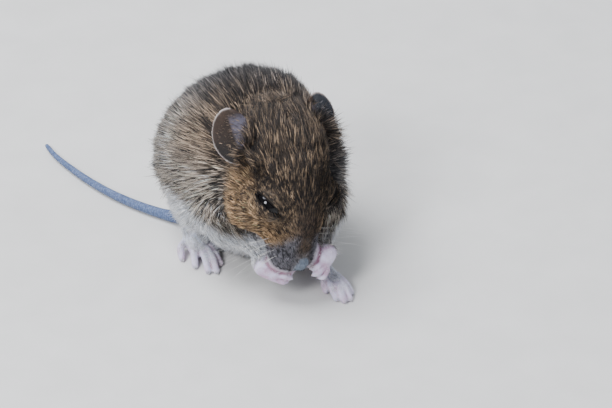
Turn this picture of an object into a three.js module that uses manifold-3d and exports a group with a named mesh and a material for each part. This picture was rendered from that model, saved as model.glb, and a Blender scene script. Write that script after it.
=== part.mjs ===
// A young field mouse (wood mouse, Apodemus sylvaticus) as a life-size still model. It crouches with its
// back arched and its head bent down to its forepaws, which are held at its mouth.
// Millimetres, +Z up. The mouse looks along -Y and its left side is at +X. The origin lies on the floor,
// on the flat that it sits on. Each solid reaches out to the tips of the coat.
import * as THREE from 'three';
import { mergeVertices } from 'three/addons/utils/BufferGeometryUtils.js';
import Module from 'manifold-3d';

const wasm = await Module();
wasm.setup();

// ---- Driving dimensions ----
const HEAD_LENGTH = 26; // nose tip to the back of the skull
const HEAD_PITCH = 52; // degrees that the nose points below the level
const HEAD_TURN = 2; // degrees to the mouse's left
const HEAD_ROLL = 15; // degrees that the crown leans to the mouse's left
const NOSE_TIP = [1.4, -16.9, 6.8];
const EYE_RADIUS = 2.3;
const EYE_PLACE = [4.6, 10.2, 2.9]; // in the head's frame
const EAR_LENGTH = 9.0;
const EAR_WIDTH = 7.0;
const EAR_THICKNESS = 0.7;
const EAR_CUP = 1.4; // depth of the ear's hollow
const EAR_ROOT_SHARE = 0.7; // width of the ear's rooted half, as a share of its free half
const BODY_HALF_WIDTH = 13.5;
const TOE_RADII = [0.62, 0.56, 0.38]; // from the root to the tip of the claw
const FINGER_RADII = [0.6, 0.5, 0.36];
const TAIL_RADII = [1.5, 1.2, 0.82, 0.72, 0.66, 0.6, 0.54, 0.46, 0.36]; // from the rump to the tip
const GAP = 0.36; // between one solid and the next

const V = (x, y, z) => new THREE.Vector3(x, y, z);
const { degToRad, clamp, lerp } = THREE.MathUtils;
const bothSides = (make) => [-1, 1].map(make); // -1 is the mouse's right side

// ---- Soft forms: each is a function that gives a point's distance from its surface ----
// A lobe is an egg-shaped swelling with three half-sizes, turned by angles in degrees.
function lobe(centre, half, turn = [0, 0, 0]) {
  const place = new THREE.Matrix4()
    .makeRotationFromEuler(new THREE.Euler(...turn.map(degToRad), 'ZYX'))
    .setPosition(...centre)
    .invert();
  const [a, b, c] = half;
  const q = V(0, 0, 0);
  return (p) => {
    q.copy(p).applyMatrix4(place);
    const near = Math.hypot(q.x / a, q.y / b, q.z / c);
    const steep = Math.hypot(q.x / (a * a), q.y / (b * b), q.z / (c * c));
    return steep < 1e-9 ? -Math.min(a, b, c) : (near * (near - 1)) / steep;
  };
}

// A bar is round and changes in radius from one end to the other.
function bar(from, to, radiusFrom, radiusTo) {
  const start = V(...from);
  const along = V(...to).sub(start);
  const q = V(0, 0, 0);
  return (p) => {
    q.copy(p).sub(start);
    const t = clamp(q.dot(along) / along.lengthSq(), 0, 1);
    return q.addScaledVector(along, -t).length() - lerp(radiusFrom, radiusTo, t);
  };
}

// The distance from two forms that run into each other over a fillet.
function soften(a, b, fillet) {
  const h = Math.max(fillet - Math.abs(a - b), 0) / fillet;
  return Math.min(a, b) - (h * h * fillet) / 4;
}
const blend = (fillet, ...forms) => (p) => forms.map((f) => f(p)).reduce((a, b) => soften(a, b, fillet));

// ---- The head's own frame: nose tip at the origin, back of the skull at +Y, crown at +Z ----
const headFrame = new THREE.Matrix4()
  .makeRotationFromEuler(new THREE.Euler(...[HEAD_PITCH, HEAD_ROLL, HEAD_TURN].map(degToRad), 'ZXY'))
  .setPosition(...NOSE_TIP);
const inHead = (x, y, z) => V(x, y, z).applyMatrix4(headFrame).toArray();
function onHead(form) {
  const out = headFrame.clone().invert();
  const q = V(0, 0, 0);
  return (p) => form(q.copy(p).applyMatrix4(out));
}
const L = HEAD_LENGTH;
const whiskerPad = (side) => lobe([side * 1.8, 3.4, -1.2], [2.1, 3.0, 2.1], [0, 0, side * 14]);
const cheek = (side) => lobe([side * 4.3, 0.49 * L, -2.0], [3.9, 6.2, 4.8], [0, 0, side * 12]);
const headForm = onHead(
  blend(
    2.2,
    lobe([0, 0.63 * L, 2.2], [7.6, 0.36 * L, 7.5]), // cranium
    lobe([0, 0.38 * L, 1.2], [5.2, 0.28 * L, 5.3]), // brow
    bar([0, 0.33 * L, 0.2], [0, 2.0, -0.4], 4.4, 2.2), // snout
    bar([0, 0.5 * L, -4.4], [0, 4.2, -3.4], 3.6, 1.6), // lower jaw
    ...bothSides((side) => whiskerPad(side)),
    ...bothSides((side) => cheek(side)),
  ),
);

// ---- The body ----
const W = BODY_HALF_WIDTH;
const forms = {
  trunk: blend(
    4,
    lobe([0.2, 2.6, 15.8], [W, 12.0, 13.8]), // arched back
    lobe([-2.4, 6.4, 13.0], [0.8 * W, 9.8, 10.6], [0, 0, -28]), // rump
    lobe([2.4, -3.4, 14.2], [0.85 * W, 8.2, 11.2]), // chest and shoulders
    lobe([0.6, 1.0, 7.4], [7.6, 8.4, 8.0]), // belly
  ),
  neck: lobe([1.6, -4.6, 19.2], [8.8, 7.8, 9.2], [30, 0, 0]),
  head: headForm,
  thigh_right: blend(3, lobe([-7.6, 6.2, 12.2], [5.4, 7.8, 8.0]), lobe([-8.6, 0.2, 10.0], [4.6, 5.2, 5.4])),
  thigh_left: blend(3, lobe([8.6, 1.6, 10.6], [5.4, 8.8, 8.6]), lobe([9.4, -5.0, 8.2], [4.2, 5.0, 5.4])),
  forelimb_right: blend(
    2,
    lobe([-6.4, -4.4, 11.0], [4.6, 5.2, 6.0], [-20, 0, 0]),
    bar([-6.0, -5.4, 9.2], [-3.2, -12.0, 6.8], 2.5, 1.4),
  ),
  forelimb_left: blend(
    2,
    lobe([8.2, -6.8, 11.4], [4.2, 5.2, 6.0], [-20, 0, 0]),
    bar([8.4, -8.4, 8.8], [6.9, -13.8, 7.2], 2.6, 1.5),
  ),
};

// ---- Solids ----
// A geometry as a closed solid, with its vertices shared and no slivers at its poles.
function solidOf(geometry) {
  geometry.deleteAttribute('normal');
  geometry.deleteAttribute('uv');
  const merged = mergeVertices(geometry, 1e-4);
  const index = [];
  for (let i = 0; i < merged.index.count; i += 3) {
    const [a, b, c] = [0, 1, 2].map((j) => merged.index.getX(i + j));
    if (a !== b && b !== c && c !== a) index.push(a, b, c);
  }
  const mesh = new wasm.Mesh({
    numProp: 3,
    vertProperties: new Float32Array(merged.attributes.position.array),
    triVerts: new Uint32Array(index),
  });
  return new wasm.Manifold(mesh);
}

function geometryOf(solid) {
  const mesh = solid.getMesh();
  const geometry = new THREE.BufferGeometry();
  geometry.setAttribute('position', new THREE.BufferAttribute(mesh.vertProperties, 3));
  geometry.setIndex([...mesh.triVerts]);
  return geometry;
}

const joined = (...solids) => wasm.Manifold.union(solids);
const mainPiece = (solid) => solid.decompose().reduce((a, b) => (b.volume() > a.volume() ? b : a));

// A capsule laid along a spine. The given function sets how far each of its points lies from the spine.
function alongSpine(spine, [sides, rows, capRows], distance) {
  const curve = new THREE.CatmullRomCurve3(spine.map((p) => V(...p)));
  const frames = curve.computeFrenetFrames(rows);
  const geometry = new THREE.CapsuleGeometry(1, 2, capRows, sides, rows);
  const { position, normal } = geometry.attributes;
  for (let i = 0; i < position.count; i++) {
    const t = clamp((position.getY(i) + 1) / 2, 0, 1);
    const row = Math.round(t * rows);
    const root = curve.getPointAt(t);
    const way = V(0, 0, 0)
      .addScaledVector(frames.normals[row], normal.getX(i))
      .addScaledVector(frames.tangents[row], normal.getY(i))
      .addScaledVector(frames.binormals[row], -normal.getZ(i))
      .normalize();
    position.setXYZ(i, ...root.addScaledVector(way, distance(root, way, t)).toArray());
  }
  return solidOf(geometry);
}

// A capsule drawn out from its spine to the surface of a form.
function drawnOut(form, spine, detail) {
  const at = V(0, 0, 0);
  return alongSpine(spine, detail, (root, way) => {
    const isIn = (far) => form(at.copy(root).addScaledVector(way, far)) < 0;
    let far = 0;
    while (isIn(far + 0.25) && far < 40) far += 0.25;
    let step = 0.125;
    for (let i = 0; i < 10; i++, step /= 2) if (isIn(far + step)) far += step;
    return far;
  });
}

// A round tube through points, with radii spread evenly from one end to the other.
function tube(points, radii, detail = [6, 2, 2]) {
  return alongSpine(points, detail, (root, way, t) => {
    const place = t * (radii.length - 1);
    const i = Math.min(Math.floor(place), radii.length - 2);
    return lerp(radii[i], radii[i + 1], place - i);
  });
}

// ---- Parts: each gives its solid, and the same solid grown by the gap, to be cut from its neighbours ----
const withGrown = (make) => ({ solid: make(0), grown: make(GAP) });

const flesh = (name, spine, detail) => withGrown((g) => drawnOut((p) => forms[name](p) - g, spine, detail));

function eye(side) {
  const centre = inHead(side * EYE_PLACE[0], EYE_PLACE[1], EYE_PLACE[2]);
  return withGrown((g) => solidOf(new THREE.SphereGeometry(EYE_RADIUS + g, 12, 8).translate(...centre)));
}

function nosePad() {
  const form = onHead(lobe([0, 0.9, 0.1], [1.4, 1.4, 1.25]));
  const spine = [inHead(0, 1.1, 0.1), inHead(0, 0.7, 0.1)];
  return withGrown((g) => drawnOut((p) => form(p) - g, spine, [10, 1, 3]));
}

// The ear is an oval shell, hollow on its outer side. Its upper edge is rooted in the head.
function ear(place, axis, outward) {
  const long = V(...axis).normalize();
  const face = V(...outward).projectOnPlane(long).normalize();
  const wide = long.clone().cross(face);
  const free = Math.sign(place[0]); // the side of its width that isn't rooted
  return withGrown((g) => {
    const geometry = new THREE.SphereGeometry(1, 16, 7).rotateX(Math.PI / 2);
    const { position } = geometry.attributes;
    for (let i = 0; i < position.count; i++) {
      const [x, y, z] = [position.getX(i), position.getY(i), position.getZ(i)];
      const thick = Math.sign(z) * Math.abs(z) ** 0.4 * (EAR_THICKNESS / 2 + g);
      const curl = EAR_CUP * (free * x * Math.abs(x) + 0.3 * y * y - 0.3);
      const half = (EAR_WIDTH / 2) * (free * x > 0 ? 1 : EAR_ROOT_SHARE);
      const p = V(...place)
        .addScaledVector(wide, x * (half + g))
        .addScaledVector(long, y * (EAR_LENGTH / 2 + g))
        .addScaledVector(face, thick + curl);
      position.setXYZ(i, ...inHead(...p.toArray()));
    }
    return solidOf(geometry);
  });
}

const foot = (sole, soleRadii, toes, toeRadii) => ({
  solid: joined(tube(sole, soleRadii, [9, 4, 3]), ...toes.map((toe) => tube(toe, toeRadii))),
});

const hindFootRight = foot(
  [[-7.4, 9.6, 6.2], [-8.2, 5.0, 3.4], [-8.5, 2.4, 1.9], [-8.6, 0.4, 1.3]], // heel to ball
  [1.3, 1.5, 1.7, 1.5],
  [
    [[-9.9, 2.6, 1.5], [-10.9, 1.6, 1.2], [-11.2, 0.1, 0.3]],
    [[-9.4, 1.8, 1.5], [-9.5, -0.4, 1.3], [-10.0, -2.4, 0.3]],
    [[-8.2, 0.8, 1.5], [-8.3, -2.0, 1.3], [-8.6, -4.3, 0.3]],
    [[-7.5, 0.4, 1.5], [-7.3, -2.4, 1.3], [-7.4, -4.7, 0.3]],
    [[-7.2, 1.0, 1.4], [-6.5, -1.2, 1.1], [-6.2, -3.0, 0.3]],
  ],
  TOE_RADII,
);
const hindFootLeft = foot(
  [[6.6, -3.0, 1.5], [7.1, -8.0, 1.4], [7.5, -12.0, 1.3], [7.8, -14.2, 1.2]],
  [1.5, 1.4, 1.5, 1.4],
  [
    [[7.0, -12.4, 1.2], [6.4, -13.8, 1.0], [6.2, -15.2, 0.3]],
    [[7.3, -13.6, 1.3], [6.9, -15.8, 1.2], [7.0, -17.5, 0.3]],
    [[7.8, -14.0, 1.3], [7.8, -16.6, 1.2], [7.9, -18.4, 0.3]],
    [[8.3, -13.8, 1.3], [8.7, -16.4, 1.2], [8.9, -18.2, 0.3]],
    [[8.6, -12.8, 1.2], [9.3, -15.0, 1.0], [9.6, -16.8, 0.3]],
  ],
  TOE_RADII,
);
const forepawRight = foot(
  [[-3.2, -11.6, 6.6], [-2.6, -13.2, 5.8], [-1.8, -14.2, 5.2]], // wrist to palm
  [1.4, 1.9, 1.6],
  [
    [[-1.6, -13.4, 6.2], [0.0, -14.2, 6.6], [1.0, -14.4, 6.0]],
    [[-1.6, -14.4, 5.7], [0.0, -15.3, 5.9], [1.1, -15.3, 5.2]],
    [[-1.6, -14.9, 5.0], [-0.2, -15.8, 5.0], [0.9, -15.6, 4.5]],
    [[-2.0, -14.8, 4.4], [-0.8, -15.6, 4.1], [0.3, -15.4, 3.8]],
  ],
  FINGER_RADII,
);
const forepawLeft = foot(
  [[6.9, -13.6, 7.6], [6.3, -14.9, 6.8], [5.6, -15.6, 6.2]],
  [1.4, 1.8, 1.5],
  [
    [[5.6, -15.2, 7.2], [4.2, -15.4, 7.0], [3.6, -15.0, 6.3]],
    [[5.4, -16.0, 6.5], [4.2, -16.4, 6.1], [3.6, -15.8, 5.5]],
    [[5.4, -16.4, 5.8], [4.4, -16.8, 5.2], [3.8, -16.2, 4.6]],
    [[5.8, -16.5, 5.2], [5.2, -16.9, 4.4], [4.6, -16.3, 4.0]],
  ],
  FINGER_RADII,
);

// The tail comes out from under the right side of the rump and lies in a curve on the floor.
const tailLine = new THREE.CatmullRomCurve3(
  [
    [-3.6, 6.0, 3.4], [-6.0, 7.6, 1.9], [-9.0, 10.2, 1.0], [-12.6, 14.4, 0.85], [-15.8, 19.4, 0.8],
    [-18.0, 24.2, 0.72], [-19.6, 28.8, 0.65], [-20.6, 32.6, 0.58], [-21.0, 36.0, 0.5],
  ].map((p) => V(...p)),
);
// A thin slice across the tail, that parts it there.
function tailParting(t) {
  const turn = new THREE.Quaternion().setFromUnitVectors(V(0, 1, 0), tailLine.getTangentAt(t));
  const slice = new THREE.BoxGeometry(6, GAP, 6).applyQuaternion(turn);
  return solidOf(slice.translate(...tailLine.getPointAt(t).toArray()));
}
const tail = (g) => tube(tailLine.points.map((p) => p.toArray()), TAIL_RADII.map((r) => r + g), [8, 22, 2]);
const [tailBase, tailMiddle, tailTip] = tail(0)
  .subtract(joined(tailParting(0.36), tailParting(0.68)))
  .decompose()
  .sort((a, b) => a.boundingBox().min[1] - b.boundingBox().min[1])
  .map((solid) => ({ solid }));

// ---- Looks ----
const finish = (color, roughness) => () =>
  new THREE.MeshStandardMaterial({ color, roughness, metalness: 0 });
const coat = finish(0x7a6248, 0.9);
const eyeball = finish(0x0c0a0b, 0.12);
const nakedNose = finish(0x8d8c98, 0.5);
const earSkin = finish(0x6f625c, 0.75);
const footSkin = finish(0xd9c4c2, 0.6);
const tailSkin = finish(0x7b7f8c, 0.65);

// ---- Assembly: each part gives way to those before it and to the floor ----
const group = new THREE.Group();
const taken = [solidOf(new THREE.BoxGeometry(200, 200, 100).translate(0, 0, -50))];
function add(name, look, part) {
  const mesh = new THREE.Mesh(geometryOf(mainPiece(part.solid.subtract(joined(...taken)))), look());
  mesh.name = name;
  group.add(mesh);
  if (part.grown) taken.push(part.grown);
}
add('eye_right', eyeball, eye(-1));
add('eye_left', eyeball, eye(1));
add('nose', nakedNose, nosePad());
add('head', coat, flesh('head', [inHead(0, 16, 2), inHead(0, 9, 0.4), inHead(0, 3.4, -0.9)], [22, 10, 5]));
add('ear_right', earSkin, ear([-7.9, 20.9, 3.0], [-0.1, 0.98, 0.05], [-0.95, 0.0, 0.27]));
add('ear_left', earSkin, ear([7.4, 20.6, 2.8], [-0.09, 0.96, 0.26], [0.45, -0.2, 0.87]));
add('thigh_right', coat, flesh('thigh_right', [[-7.6, 6.4, 12], [-8.0, 0.8, 10.6]], [14, 3, 4]));
add('thigh_left', coat, flesh('thigh_left', [[8.6, 2.6, 10.4], [9.2, -4.4, 8.4]], [14, 3, 4]));
const armRight = [[-6, -4, 10.6], [-5.6, -6, 8.2], [-3.4, -11.4, 6.9]];
const armLeft = [[8, -6.6, 11.2], [8.3, -8.8, 8.6], [7, -13.4, 7.3]];
add('forelimb_right', coat, flesh('forelimb_right', armRight, [10, 5, 3]));
add('forelimb_left', coat, flesh('forelimb_left', armLeft, [10, 5, 3]));
add('neck', coat, flesh('neck', [[1.6, -4.4, 19], [1.6, -5.6, 19.4]], [14, 2, 4]));
add('tail_tip', tailSkin, tailTip);
add('tail_middle', tailSkin, tailMiddle);
add('tail_base', tailSkin, { ...tailBase, grown: tail(GAP) });
add('trunk', coat, flesh('trunk', [[-1.8, 5.4, 13], [1.0, -2.8, 13]], [20, 5, 5]));
add('hind_foot_right', footSkin, hindFootRight);
add('hind_foot_left', footSkin, hindFootLeft);
add('forepaw_right', footSkin, forepawRight);
add('forepaw_left', footSkin, forepawLeft);

export default group;
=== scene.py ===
# %% [markdown]
# # A young field mouse, life size
# A museum model of a young wood mouse that crouches with its forepaws at its mouth. The solid body
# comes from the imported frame. Here it gets one seamless skin, eyes with lids, claws, whiskers and a
# coat of small tufts. Everything is worked out in millimetres and made in metres at the end.

import time

import bmesh
import bpy
import numpy as np
from mathutils import Matrix, Vector
from mathutils.bvhtree import BVHTree


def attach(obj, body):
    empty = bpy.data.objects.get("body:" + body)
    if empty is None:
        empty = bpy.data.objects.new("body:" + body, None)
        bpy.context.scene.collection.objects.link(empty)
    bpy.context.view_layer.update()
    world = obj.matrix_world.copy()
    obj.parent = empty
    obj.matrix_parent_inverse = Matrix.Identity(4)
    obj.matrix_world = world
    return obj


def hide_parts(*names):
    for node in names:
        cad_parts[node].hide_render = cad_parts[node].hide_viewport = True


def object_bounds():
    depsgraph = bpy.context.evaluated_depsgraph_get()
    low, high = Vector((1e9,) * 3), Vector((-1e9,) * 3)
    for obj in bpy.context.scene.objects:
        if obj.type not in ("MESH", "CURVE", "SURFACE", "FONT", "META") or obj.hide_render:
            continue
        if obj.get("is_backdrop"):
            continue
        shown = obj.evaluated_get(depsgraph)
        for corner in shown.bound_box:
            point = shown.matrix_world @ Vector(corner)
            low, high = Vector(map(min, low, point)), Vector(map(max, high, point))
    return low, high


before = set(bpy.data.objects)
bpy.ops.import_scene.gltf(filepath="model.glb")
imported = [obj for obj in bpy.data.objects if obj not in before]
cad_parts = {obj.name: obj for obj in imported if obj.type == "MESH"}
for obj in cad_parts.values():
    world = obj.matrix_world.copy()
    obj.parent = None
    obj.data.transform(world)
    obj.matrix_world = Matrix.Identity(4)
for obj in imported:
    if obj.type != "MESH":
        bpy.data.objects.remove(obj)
CAD_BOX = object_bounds()
START = time.time()
RNG = np.random.default_rng(7)


def report(*words):
    print(f"[{time.time() - START:5.1f} s]", *words)


report("nodes:", ", ".join(sorted(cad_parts)))

# %% [markdown]
# ## Camera, floor and light
# A long lens from a little to the mouse's right and well above it. The floor is a plain pale board.
# Large soft lamps stand in for an open sky: small lamps would give each hair a hard spark.

# %% Colours and node helper
def srgb(code, alpha=1.0):
    """An sRGB hex colour as the linear values that Blender's sockets take."""
    parts = [int(code[i:i + 2], 16) / 255 for i in (1, 3, 5)]
    return tuple(c / 12.92 if c <= 0.04045 else ((c + 0.055) / 1.055) ** 2.4 for c in parts) + (alpha,)


def tone(code):
    return np.array(srgb(code)[:3])


def add_node(tree, kind, inputs=None, stops=None, **settings):
    """Adds a node with its settings. An input is a value, or another node whose first shown output is
    linked, or an output. A ramp's stops are pairs of a place and a colour."""
    node = tree.nodes.new(kind)
    for key, value in settings.items():
        setattr(node, key, value)
    for element in range(2, len(stops or [])):
        node.color_ramp.elements.new(0.5)
    for element, (place, colour) in zip(node.color_ramp.elements if stops else [], stops or []):
        element.position, element.color = place, srgb(colour)
    for key, value in (inputs or {}).items():
        if isinstance(value, bpy.types.Node):
            value = next(o for o in value.outputs if o.enabled)
        if isinstance(value, bpy.types.NodeSocket):
            tree.links.new(value, node.inputs[key])
        else:
            node.inputs[key].default_value = value
    return node


def new_material(name):
    material = bpy.data.materials.new(name)
    material.use_nodes = True
    material.node_tree.nodes.clear()
    return material, material.node_tree


def finish_material(tree, shader):
    add_node(tree, "ShaderNodeOutputMaterial", {"Surface": shader.outputs[0]})


def clouded_material(name, scale, detail, stops, surface):
    """A material whose colour drifts softly between the stops. The surface holds the shader's inputs."""
    material, tree = new_material(name)
    place = add_node(tree, "ShaderNodeTexCoord").outputs["Object"]
    cloud = add_node(tree, "ShaderNodeTexNoise", {"Vector": place, "Scale": scale, "Detail": detail})
    colour = add_node(tree, "ShaderNodeValToRGB", {"Fac": cloud}, stops)
    finish_material(tree, add_node(tree, "ShaderNodeBsdfPrincipled", {"Base Color": colour, **surface}))
    return material


# %% Camera
MM = 0.001
PER_METRE = 1 / MM  # turns a pattern's repeats per millimetre into Blender's repeats per metre
CAMERA_AZIMUTH, CAMERA_ELEVATION = np.radians(-20), np.radians(35)
CAMERA_DISTANCE = 0.70
FRAME_WIDTH = 0.0927  # metres across the picture at the origin's distance

camera_data = bpy.data.cameras.new("camera")
camera = bpy.data.objects.new("camera", camera_data)
bpy.context.scene.collection.objects.link(camera)
bpy.context.scene.camera = camera
back = Vector((np.sin(CAMERA_AZIMUTH) * np.cos(CAMERA_ELEVATION),
               -np.cos(CAMERA_AZIMUTH) * np.cos(CAMERA_ELEVATION), np.sin(CAMERA_ELEVATION)))
right = Vector((np.cos(CAMERA_AZIMUTH), np.sin(CAMERA_AZIMUTH), 0))
up = back.cross(right)
facing = Matrix((right, up, back)).transposed().to_4x4()
camera.matrix_world = Matrix.Translation(back * CAMERA_DISTANCE) @ facing
camera_data.sensor_width = 36
camera_data.lens = 36 * CAMERA_DISTANCE / FRAME_WIDTH
camera_data.shift_x, camera_data.shift_y = 0.088, 0.069
camera_data.clip_start, camera_data.clip_end = 0.01, 20

# %% Floor
floor_mesh = bpy.data.meshes.new("floor")
HALF_FLOOR, FLOOR_DROP = 3, 5e-5  # metres, with the floor a hair's breadth under the feet
floor_mesh.from_pydata([(x * HALF_FLOOR, y * HALF_FLOOR, -FLOOR_DROP)
                        for x, y in ((-1, -1), (1, -1), (1, 1), (-1, 1))], [], [(0, 1, 2, 3)])
floor = bpy.data.objects.new("floor", floor_mesh)
bpy.context.scene.collection.objects.link(floor)
material, tree = new_material("pale_matt_board")
speck = add_node(tree, "ShaderNodeTexNoise", {"Scale": 900.0, "Detail": 3.0})
shade = add_node(tree, "ShaderNodeValToRGB", {"Fac": speck}, [(0.3, "#d8d6d1"), (0.7, "#dedcd7")])
finish_material(tree, add_node(tree, "ShaderNodeBsdfPrincipled", {"Base Color": shade, "Roughness": 0.9}))
floor_mesh.materials.append(material)
floor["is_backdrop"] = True

# %% Lamps
def soft_lamp(name, place, size, power, colour):
    data = bpy.data.lights.new(name, "AREA")
    data.shape, data.size, data.energy, data.color = "DISK", size, power, srgb(colour)[:3]
    lamp = bpy.data.objects.new(name, data)
    lamp.location = place
    lamp.rotation_euler = Vector(place).to_track_quat("Z", "Y").to_euler()
    bpy.context.scene.collection.objects.link(lamp)


soft_lamp("sky_lamp", (-0.22, 0.12, 0.60), 0.45, 6.4, "#f4f7ff")
soft_lamp("key_lamp", (-0.41, -0.27, 0.41), 0.20, 3.2, "#f6f8ff")
soft_lamp("back_lamp", (0.10, 0.60, 0.34), 0.40, 0.9, "#f2f5ff")
soft_lamp("fill_lamp", (0.50, -0.25, 0.30), 0.40, 1.0, "#e9f0ff")
world = bpy.data.worlds.new("studio")
bpy.context.scene.world = world
world.use_nodes = True
world.node_tree.nodes["Background"].inputs["Color"].default_value = srgb("#dfe6ee")
world.node_tree.nodes["Background"].inputs["Strength"].default_value = 0.42
report("camera, floor and lamps are ready")

# %% [markdown]
# ## The body's measures
# The frame's solids reach out to the tips of the coat. The head has a frame of its own, with the nose
# tip at its origin, the back of the skull at +Y and the crown at +Z, so that the two sides can share
# their values.

# %% The head's frame
NOSE_TIP = np.array([1.4, -16.9, 6.8])
HEAD_PITCH, HEAD_ROLL, HEAD_TURN = np.radians([52, 15, 2])


def turn_matrix(axis, angle):
    return np.array(Matrix.Rotation(angle, 3, axis))


HEAD_TURNING = turn_matrix("Z", HEAD_TURN) @ turn_matrix("X", HEAD_PITCH) @ turn_matrix("Y", HEAD_ROLL)


def to_head(points):
    return (points - NOSE_TIP) @ HEAD_TURNING


def from_head(points):
    return np.asarray(points, float) @ HEAD_TURNING.T + NOSE_TIP


def way_from_head(ways):
    return np.asarray(ways, float) @ HEAD_TURNING.T


def unit(v):
    return v / np.maximum(np.linalg.norm(v, axis=-1, keepdims=True), 1e-9)


def ease(low, high, x):
    """0 below low, 1 above high, and a smooth rise between them."""
    t = np.clip((x - low) / (high - low), 0, 1)
    return t * t * (3 - 2 * t)


report("crown of the head at", from_head([0, 18, 9]).round(1), "mm")

# %% Routes of the limbs and tail, in millimetres
EYE_PLACE = np.array([4.6, 10.2, 2.9])  # left eye in the head's frame
EYE_RADIUS = 2.3
EARS = {  # place, long axis and outward face in the head's frame
    "ear_right": ([-7.9, 20.9, 3.0], [-0.1, 0.98, 0.05], [-0.95, 0.0, 0.27]),
    "ear_left": ([7.4, 20.6, 2.8], [-0.09, 0.96, 0.26], [0.45, -0.2, 0.87]),
}
EAR_LENGTH, EAR_WIDTH, EAR_THICKNESS, EAR_CUP = 9.0, 7.0, 0.7, 1.4
EAR_ROOT_SHARE = 0.7  # width of the ear's rooted half, as a share of its free half
FEET = {  # the sole or palm, its radii, and the toes
    "hind_foot_right": (
        [(-7.4, 9.6, 6.2), (-8.2, 5.0, 3.4), (-8.5, 2.4, 1.9), (-8.6, 0.4, 1.3)], (1.25, 1.4, 1.6, 1.4),
        [[(-9.9, 2.6, 1.5), (-10.9, 1.6, 1.2), (-11.2, 0.1, 0.3)],
         [(-9.4, 1.8, 1.5), (-9.5, -0.4, 1.3), (-10.0, -2.4, 0.3)],
         [(-8.2, 0.8, 1.5), (-8.3, -2.0, 1.3), (-8.6, -4.3, 0.3)],
         [(-7.5, 0.4, 1.5), (-7.3, -2.4, 1.3), (-7.4, -4.7, 0.3)],
         [(-7.2, 1.0, 1.4), (-6.5, -1.2, 1.1), (-6.2, -3.0, 0.3)]]),
    "hind_foot_left": (
        [(6.6, -3.0, 1.5), (7.1, -8.0, 1.4), (7.5, -12.0, 1.3), (7.8, -14.2, 1.2)], (1.2, 1.15, 1.3, 1.2),
        [[(7.0, -12.4, 1.2), (6.4, -13.8, 1.0), (6.2, -15.2, 0.3)],
         [(7.3, -13.6, 1.3), (6.9, -15.8, 1.2), (7.0, -17.5, 0.3)],
         [(7.8, -14.0, 1.3), (7.8, -16.6, 1.2), (7.9, -18.4, 0.3)],
         [(8.3, -13.8, 1.3), (8.7, -16.4, 1.2), (8.9, -18.2, 0.3)],
         [(8.6, -12.8, 1.2), (9.3, -15.0, 1.0), (9.6, -16.8, 0.3)]]),
    "forepaw_right": (
        [(-3.2, -11.6, 6.6), (-2.6, -13.2, 5.8), (-1.8, -14.2, 5.2)], (1.4, 1.9, 1.5),
        [[(-1.6, -13.4, 6.2), (-0.3, -14.2, 6.6), (0.5, -14.4, 6.0)],
         [(-1.6, -14.4, 5.7), (-0.3, -15.3, 5.9), (0.6, -15.3, 5.2)],
         [(-1.6, -14.9, 5.0), (-0.5, -15.8, 5.0), (0.4, -15.6, 4.4)],
         [(-2.0, -14.8, 4.4), (-1.1, -15.6, 4.1), (-0.2, -15.4, 3.7)]]),
    "forepaw_left": (
        [(6.9, -13.6, 7.6), (6.3, -14.9, 6.8), (5.6, -15.6, 6.2)], (1.2, 1.55, 1.25),
        [[(5.6, -15.2, 7.2), (4.2, -15.4, 7.0), (3.6, -15.0, 6.3)],
         [(5.4, -16.0, 6.5), (4.2, -16.4, 6.1), (3.6, -15.8, 5.5)],
         [(5.4, -16.4, 5.8), (4.4, -16.8, 5.2), (3.8, -16.2, 4.6)],
         [(5.8, -16.5, 5.2), (5.2, -16.9, 4.4), (4.6, -16.3, 4.0)]]),
}
TOE_RADII = {"hind": (0.62, 0.55, 0.58, 0.50), "fore": (0.54, 0.42, 0.46, 0.36)}
TAIL = [(-3.6, 6.0, 3.4), (-6.0, 7.6, 1.9), (-9.0, 10.2, 1.0), (-12.6, 14.4, 0.85), (-15.8, 19.4, 0.8),
        (-18.0, 24.2, 0.72), (-19.6, 28.8, 0.65), (-20.6, 32.6, 0.58), (-21.0, 36.0, 0.5)]
TAIL_RADII = (1.5, 1.2, 0.82, 0.72, 0.66, 0.6, 0.54, 0.46, 0.36)

# %% [markdown]
# ## Skin
# A mouse has one unbroken skin. The solids of the frame are parted by thin cuts, so the skin is made by
# swelling each of them a little, joining them, and drawing one new surface round the whole with a voxel
# remesh. Toes, ears and tail would be too coarse that way, so they are first laid out as fine tubes and
# shells on the same routes. Then the surface is smoothed and pulled in by the depth of the fur.

# %% Tubes and shells
def along_curve(points, steps):
    """Evenly spaced points on a smooth curve through the given ones."""
    p = np.asarray(points, float)
    ext = np.vstack([2 * p[0] - p[1], p, 2 * p[-1] - p[-2]])
    fine = []
    for i in range(len(p) - 1):
        a, b, c, d = ext[i:i + 4]
        t = np.linspace(0, 1, 40, endpoint=False)[:, None]
        fine.append(0.5 * (2 * b + (c - a) * t + (2 * a - 5 * b + 4 * c - d) * t**2
                           + (3 * b - a - 3 * c + d) * t**3))
    fine = np.vstack(fine + [p[-1:]])
    run = np.concatenate([[0], np.cumsum(np.linalg.norm(np.diff(fine, axis=0), axis=1))])
    at = np.linspace(0, run[-1], steps)
    return np.stack([np.interp(at, run, fine[:, k]) for k in range(3)], 1), at


def tube_faces(rings, sides):
    """The walls between rings of corners, and a cap at each end."""
    faces = [[k * sides + j, k * sides + (j + 1) % sides, (k + 1) * sides + (j + 1) % sides,
              (k + 1) * sides + j] for k in range(rings - 1) for j in range(sides)]
    return faces + [list(range(sides))[::-1], [(rings - 1) * sides + j for j in range(sides)]]


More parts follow.
